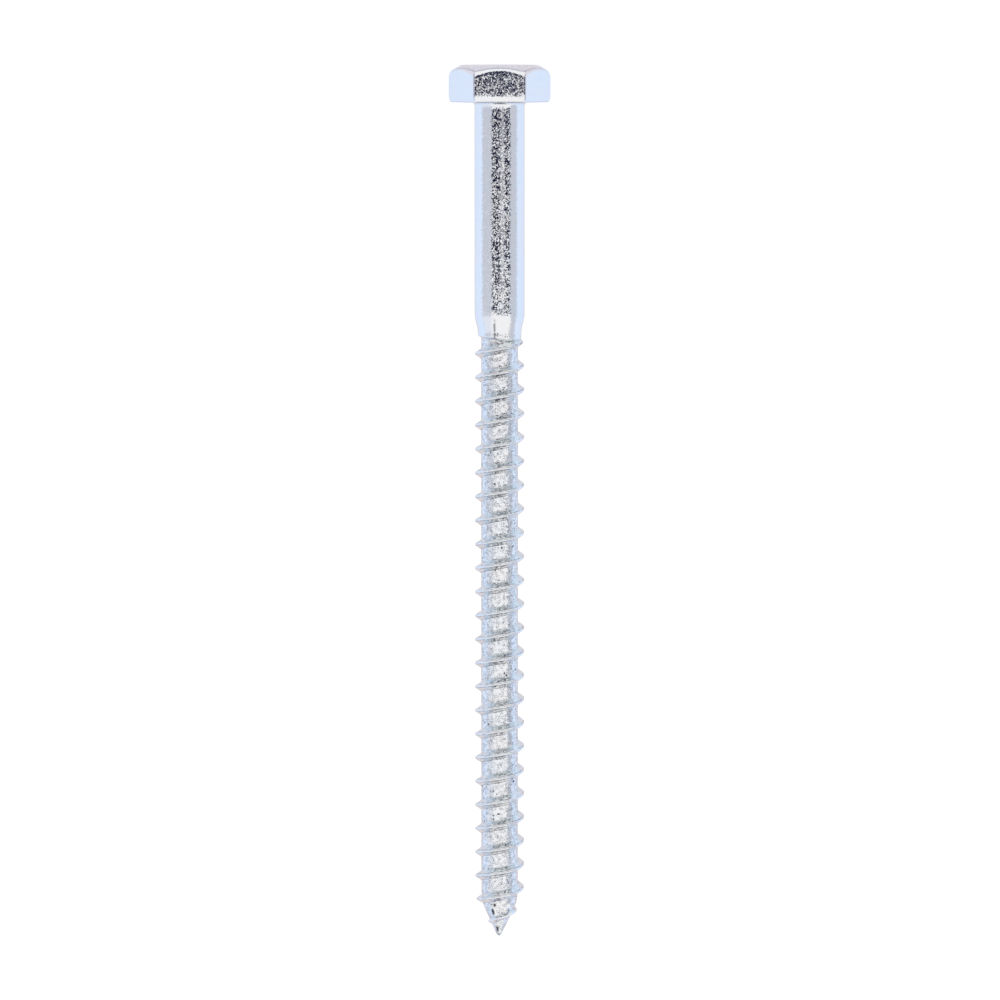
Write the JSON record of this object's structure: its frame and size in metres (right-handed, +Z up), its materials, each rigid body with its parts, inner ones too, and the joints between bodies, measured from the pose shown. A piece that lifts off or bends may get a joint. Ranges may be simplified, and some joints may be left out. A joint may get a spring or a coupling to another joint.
{
  "type": "lag screw",
  "caption": "Zinc plated hexagon head lag screw with a plain shank, a coarse right-handed wood thread and a gimlet point, for heavy timber fixings.",
  "frame": {"origin": "middle of the underside of the screw's box as it lies at rest on a level surface", "axes": "+Z up, +Y towards the head, the screw's axis in the YZ plane and leaning 1.42 degrees down to the tip at -Y, +X to the right seen with the head up"},
  "size_m": [0.0192, 0.1672, 0.017],
  "materials": {
    "zinc_plate": "bright zinc plating, finely grained"
  },
  "bodies": {
    "root": {"lag_screw": "zinc_plate"}
  },
  "joints": []
}
